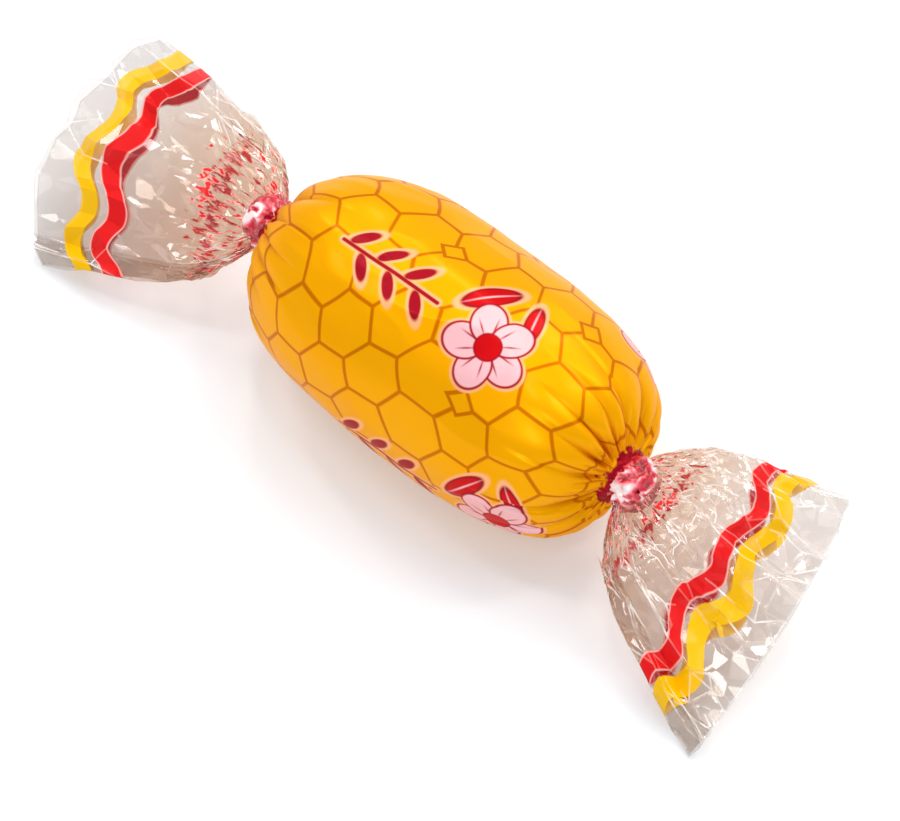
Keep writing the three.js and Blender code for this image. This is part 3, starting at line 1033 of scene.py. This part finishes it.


def add_print(add, film, fan, settings, cover):
    """Prints the two bands and the scraps over a film's shader. cover is the share of the ink
    that the film has kept."""
    uv = add("UVMap", uv_map="print_mm")
    place = add("TexCoord").outputs["Object"]
    across = add("SeparateXYZ", (uv,))
    from_neck = across.outputs["Y"]

    # The bands run round the film in a slow, slightly uneven wave.
    wave_pace = math.tau * BAND_WAVES / (WRAP_WIDTH / MM)
    angle = add("Math.MULTIPLY_ADD", (across, wave_pace, fan["wave_phase"]))
    slow = add("Math.COSINE", (angle,))
    slow = add("Math.MULTIPLY", (slow, WAVE_HEIGHT))
    wobble = add("TexNoise", {"Vector": place, "Scale": 0.2 / MM, "Detail": 0.0})
    wobble = add("Math.MULTIPLY_ADD", (wobble, 1.8, -0.9))
    drift = add("Math.ADD", (slow, wobble))
    moved = add("Math.SUBTRACT", (from_neck, drift))
    red_place, yellow_place = fan["bands"]
    yellow = soft_step(add, apart(add, moved, yellow_place), YELLOW_HALF_WIDTH, BAND_SOFTNESS)
    off_red = apart(add, moved, red_place)
    rim = soft_step(add, off_red, RIM_HALF_WIDTH, BAND_SOFTNESS)
    red = soft_step(add, off_red, RED_HALF_WIDTH, BAND_SOFTNESS)

    # Scraps of red and pink print near the neck, with a second row of them farther out.
    streaks = add("VectorMath.MULTIPLY", (uv, SCRAP_STRETCH))
    scraps = add("TexNoise", {"Vector": streaks, "Scale": 1.0, "Detail": 2.0})
    density = add("MapRange", (from_neck, 0.6, 7.5, 0.12, -0.14))
    in_row = add("MapRange", (apart(add, from_neck, SCRAP_ROW), 0.9, 0.3, 0.0, 0.18))
    stretch = add("TexNoise", {"Vector": uv, "Scale": 0.11, "Detail": 0.0})
    stretch = add("MapRange", (stretch, 0.45, 0.55))
    in_row = add("Math.MULTIPLY", (in_row, stretch))
    density = add("Math.ADD", (density, in_row))
    scraps = add("Math.ADD", (scraps, density))
    pink_scraps = add("MapRange", (scraps, 0.64, 0.66))
    red_scraps = add("MapRange", (scraps, 0.69, 0.71))

    coats = (
        (yellow, settings.yellow_band, 0.92),
        (rim, settings.band_edge, 0.85),
        (red, settings.red_band, 0.97),
        (pink_scraps, settings.band_edge, 0.75),
        (red_scraps, settings.red_band, 0.92),
    )
    for mask, colour, strength in coats:
        inked = add("Math.MULTIPLY", (mask, strength * cover))
        ink = add(
            "BsdfPrincipled",
            {"Base Color": rgba(colour), "Roughness": 0.25, "IOR": 1.5,
             "Specular IOR Level": 0.06, "Coat Weight": 0.04, "Coat Roughness": 0.06},
        )
        film = add("MixShader", (inked, film, ink))
    return film


def clear_film_material(end, fan, settings):
    """BOPP film, clear where it isn't printed, cut and twisted by machine. It lets nearly all the
    light through and mirrors the rest, so the eye sees a grey veil that deepens where layers lie
    over each other, white flashes from its flat facets and a bright line along its cut edge."""
    material, add = new_material("clear_bopp_film_" + end)
    place = add("TexCoord").outputs["Object"]

    # Reflection by Schlick's rule, from a film's two faces, the same from both sides.
    facing = add("LayerWeight", {"Blend": 0.5}).outputs["Facing"]
    steep = add("Math.POWER", (facing, 4.0))
    shine = add("MapRange", (steep, 0, 1, 0.065, 0.8))
    # Small flat facets, each tilted its own way, between the folds that are real shapes.
    facets = add("TexVoronoi", {"Vector": place, "Scale": 0.52 / MM}).outputs["Color"]
    tilt = add("VectorMath.SUBTRACT", (facets, (0.5, 0.5, 0.5)))
    straight = add("NewGeometry").outputs["Normal"]
    tilted = add("VectorMath.MULTIPLY_ADD", (tilt, FACET_TILT, straight))
    tilted = add("VectorMath.NORMALIZE", (tilted,))
    wrinkles = add("TexNoise", {"Vector": place, "Scale": 0.4 / MM, "Detail": 1.0})
    bump = add(
        "Bump", {"Height": wrinkles, "Strength": 0.1, "Distance": 0.1 * MM, "Normal": tilted}
    )
    mirror = add("BsdfAnisotropic", {"Color": (1, 1, 1, 1), "Roughness": 0.07, "Normal": bump})
    uv = add("UVMap", uv_map="print_mm")
    from_neck = add("SeparateXYZ", (uv,)).outputs["Y"]
    # Near the neck the light through the film is painted warmer and darker, as painted shade and
    # painted bounce from the gold chew, fading out from 2 to 12 mm.
    farther = add("MapRange", (from_neck, 2.0, 12.0))
    tint = add(
        "Mix", {"Factor": farther, 6: rgba(settings.neck_shade_and_bounce), 7: linear(fan["tint"])},
        data_type="RGBA",
    ).outputs[2]
    window = add("BsdfTransparent", (tint,))
    film = add("MixShader", (shine, window, mirror))

    # The cut edge catches the light.
    to_cut = add("Attribute", attribute_name="to_cut_edge").outputs["Fac"]
    cut = add("MapRange", (to_cut, 0.16, 0.06, 0, 0.5))
    edge = {"Base Color": linear("#e9e6e2"), "Roughness": 0.25, "IOR": 1.5}
    film = add("MixShader", (cut, film, add("BsdfPrincipled", edge)))
    film = add_print(add, film, fan, settings, 1.0)
    add("OutputMaterial", {"Surface": film})
    return material


def crease_highlight_material(end, fan, settings):
    """BOPP film along a hard fold, painted white as a painted highlight for the glint that the
    rounded crease catches. It shows as a thin pale line that lets less light through, and the
    print under the painted highlight is paler."""
    material, add = new_material("painted_crease_highlight_film_" + end)
    place = add("TexCoord").outputs["Object"]
    # The painted highlight is broken up by noise and covers at most seven tenths of the line.
    broken = add("TexNoise", {"Vector": place, "Scale": 0.5 / MM, "Detail": 2.0})
    white = add("MapRange", (broken, 0.38, 0.62, 0, 0.7))
    window = add("BsdfTransparent", (linear("#f8f3ef"),))
    line = add(
        "BsdfPrincipled",
        {"Base Color": linear("#fffaf4"), "Roughness": 0.15, "IOR": 1.5, "Coat Weight": 0.6,
         "Coat Roughness": 0.05},
    )
    film = add("MixShader", (white, window, line))
    film = add_print(add, film, fan, settings, INK_UNDER_CREASE_HIGHLIGHT)
    add("OutputMaterial", {"Surface": film})
    return material


class TAFFY_OT_clear_fans(Operator):
    """Makes the clear, creased fan of film at each end"""

    bl_idname = "taffy.clear_fans"
    bl_label = "Clear fans"

    def execute(self, context):
        settings = context.scene.taffy_clear_film
        for end, fan in FANS.items():
            name = "clear_fan_" + end
            mesh = clear_film_mesh(name, fan, settings)
            piece = new_piece(name, mesh, clear_film_material(end, fan, settings))
            mesh.materials.append(crease_highlight_material(end, fan, settings))
            facets = piece.modifiers.new("flat_facets", "WEIGHTED_NORMAL")
            facets.weight = 100
            facets.keep_sharp = True
            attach(piece, "root")
            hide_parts("twist_end_" + end)
        return {"FINISHED"}


# --- The stage ---

CAMERA_AZIMUTH = math.radians(41.75)
CAMERA_ELEVATION = math.radians(54.5)
CAMERA_DISTANCE = 450 * MM
PICTURE_WIDTH = 900  # pixels
PICTURE_HEIGHT = 821
PIXELS_PER_METRE = 14.7 / MM
BODY_PIXEL = (449, 351)  # where the middle of the chew stands in the picture

# The softboxes, as (name, place, size, share of the power, colour), in metres.
SOFTBOXES = (
    ("main_softbox", (0.2, 0.55, 0.75), (0.9, 0.9), 0.7, "#fffaf4"),
    ("fill_softbox", (0.25, -0.65, 0.72), (0.8, 0.8), 0.5, "#f8faff"),
)
# Narrow softboxes round the sweet, as (degrees round from +X, degrees up), which the film's
# creases and facets mirror as white flashes.
STRIPS = ((132, 52), (98, 42), (165, 45), (140, 80), (60, 58), (200, 62), (-60, 38))
STRIP_DISTANCE = 0.9
STRIP_SIZE = (0.08, 0.4)
STRIP_SHARE = 0.2
WORLD_LIGHT = 0.5
FLOOR_GLOW = 0.19
FILM_LAYERS_SEEN = 48  # layers of clear film that light may pass before it ends


def floor_material(settings):
    """A matt white board, painted by roller, which spreads light evenly and takes soft shadows.
    It is lit from below like a light table, so the shadows on it stay pale."""
    material, add = new_material("matt_white_board")
    place = add("TexCoord").outputs["Object"]
    grain = add("TexNoise", {"Vector": place, "Scale": 0.9 / MM, "Detail": 3.0})
    bump = add("Bump", {"Height": grain, "Strength": 0.05, "Distance": 0.05 * MM})
    shader = add(
        "BsdfPrincipled",
        {"Base Color": rgba(settings.floor), "Roughness": 0.75, "IOR": 1.45, "Normal": bump,
         "Emission Color": linear("#dcf6ff"), "Emission Strength": FLOOR_GLOW},
    )
    add("OutputMaterial", {"Surface": shader})
    return material


def add_softbox(name, place, size, power, colour):
    """A rectangular light that faces the taffy."""
    light = bpy.data.lights.new(name, "AREA")
    light.shape = "RECTANGLE"
    light.size, light.size_y = size
    light.energy = power
    light.color = linear(colour)[:3]
    lamp = bpy.data.objects.new(name, light)
    lamp.location = place
    lamp.rotation_euler = (-lamp.location).to_track_quat("-Z", "Y").to_euler()
    bpy.context.scene.collection.objects.link(lamp)


def add_camera():
    """The camera at the photo's angle, framed so that the chew stands where the photo has it."""
    back = Vector((
        math.sin(CAMERA_AZIMUTH) * math.cos(CAMERA_ELEVATION),
        -math.cos(CAMERA_AZIMUTH) * math.cos(CAMERA_ELEVATION),
        math.sin(CAMERA_ELEVATION),
    ))
    rightward = Vector((math.cos(CAMERA_AZIMUTH), math.sin(CAMERA_AZIMUTH), 0))
    upward = back.cross(rightward)
    off_right = (PICTURE_WIDTH / 2 - BODY_PIXEL[0]) / PIXELS_PER_METRE
    off_down = (PICTURE_HEIGHT / 2 - BODY_PIXEL[1]) / PIXELS_PER_METRE
    target = CENTRE + rightward * off_right - upward * off_down
    data = bpy.data.cameras.new("camera")
    data.sensor_fit = "HORIZONTAL"
    data.lens = data.sensor_width * CAMERA_DISTANCE * PIXELS_PER_METRE / PICTURE_WIDTH
    data.clip_start = 0.01
    camera = bpy.data.objects.new("camera", data)
    camera.location = target + back * CAMERA_DISTANCE
    camera.rotation_euler = back.to_track_quat("Z", "Y").to_euler()
    bpy.context.scene.collection.objects.link(camera)
    bpy.context.scene.camera = camera


class TAFFY_OT_stage(Operator):
    """Makes the pale floor, the soft light and the camera"""

    bl_idname = "taffy.stage"
    bl_label = "Stage"

    def execute(self, context):
        settings = context.scene.taffy_stage
        bm = bmesh.new()
        bmesh.ops.create_grid(bm, x_segments=8, y_segments=8, size=settings.floor_size / 2)
        new_piece("floor", finished_mesh(bm, "floor"), floor_material(settings))

        for name, place, size, share, colour in SOFTBOXES:
            add_softbox(name, Vector(place), size, share * settings.softbox, colour)
        for i, (round_from_x, up) in enumerate(STRIPS):
            place = Vector((STRIP_DISTANCE, 0, 0))
            place.rotate(Euler((0, -math.radians(up), math.radians(round_from_x))))
            power = STRIP_SHARE * settings.softbox
            add_softbox(f"strip_{i}", place, STRIP_SIZE, power, "#ffffff")
        world = bpy.data.worlds.new("studio")
        world.use_nodes = True
        background = world.node_tree.nodes["Background"]
        background.inputs["Color"].default_value = linear("#eef4ff")
        background.inputs["Strength"].default_value = WORLD_LIGHT
        context.scene.world = world
        context.scene.view_settings.view_transform = "Standard"
        context.scene.cycles.transparent_max_bounces = FILM_LAYERS_SEEN
        add_camera()
        return {"FINISHED"}


class TAFFY_PT_sidebar(Panel):
    """Lists the pieces of the taffy and their sizes"""

    bl_label = "Wrapped taffy"
    bl_idname = "TAFFY_PT_sidebar"
    bl_space_type = "VIEW_3D"
    bl_region_type = "UI"
    bl_category = "Taffy"

    def draw(self, context):
        for operator, group in PIECES:
            self.layout.operator(operator.bl_idname)
            if group:
                settings = getattr(context.scene, group)
                for name in settings.bl_rna.properties.keys():
                    if name not in ("name", "rna_type"):
                        self.layout.prop(settings, name)


# Each operator, with the settings that the sidebar lists below it.
PIECES = (
    (TAFFY_OT_printed_film, "taffy_printed_film"),
    (TAFFY_OT_neck_twists, None),
    (TAFFY_OT_clear_fans, "taffy_clear_film"),
    (TAFFY_OT_stage, "taffy_stage"),
)
GROUPS = {
    "taffy_printed_film": PrintedFilmSettings,
    "taffy_clear_film": ClearFilmSettings,
    "taffy_stage": StageSettings,
}


def register():
    for name, group in GROUPS.items():
        bpy.utils.register_class(group)
        setattr(bpy.types.Scene, name, PointerProperty(type=group))
    for operator, _ in PIECES:
        bpy.utils.register_class(operator)
    bpy.utils.register_class(TAFFY_PT_sidebar)


def unregister():
    bpy.utils.unregister_class(TAFFY_PT_sidebar)
    for operator, _ in PIECES:
        bpy.utils.unregister_class(operator)
    for name, group in GROUPS.items():
        delattr(bpy.types.Scene, name)
        bpy.utils.unregister_class(group)


def main():
    register()
    bpy.ops.taffy.printed_film()
    bpy.ops.taffy.neck_twists()
    bpy.ops.taffy.clear_fans()
    bpy.ops.taffy.stage()


if __name__ == "__main__":
    main()
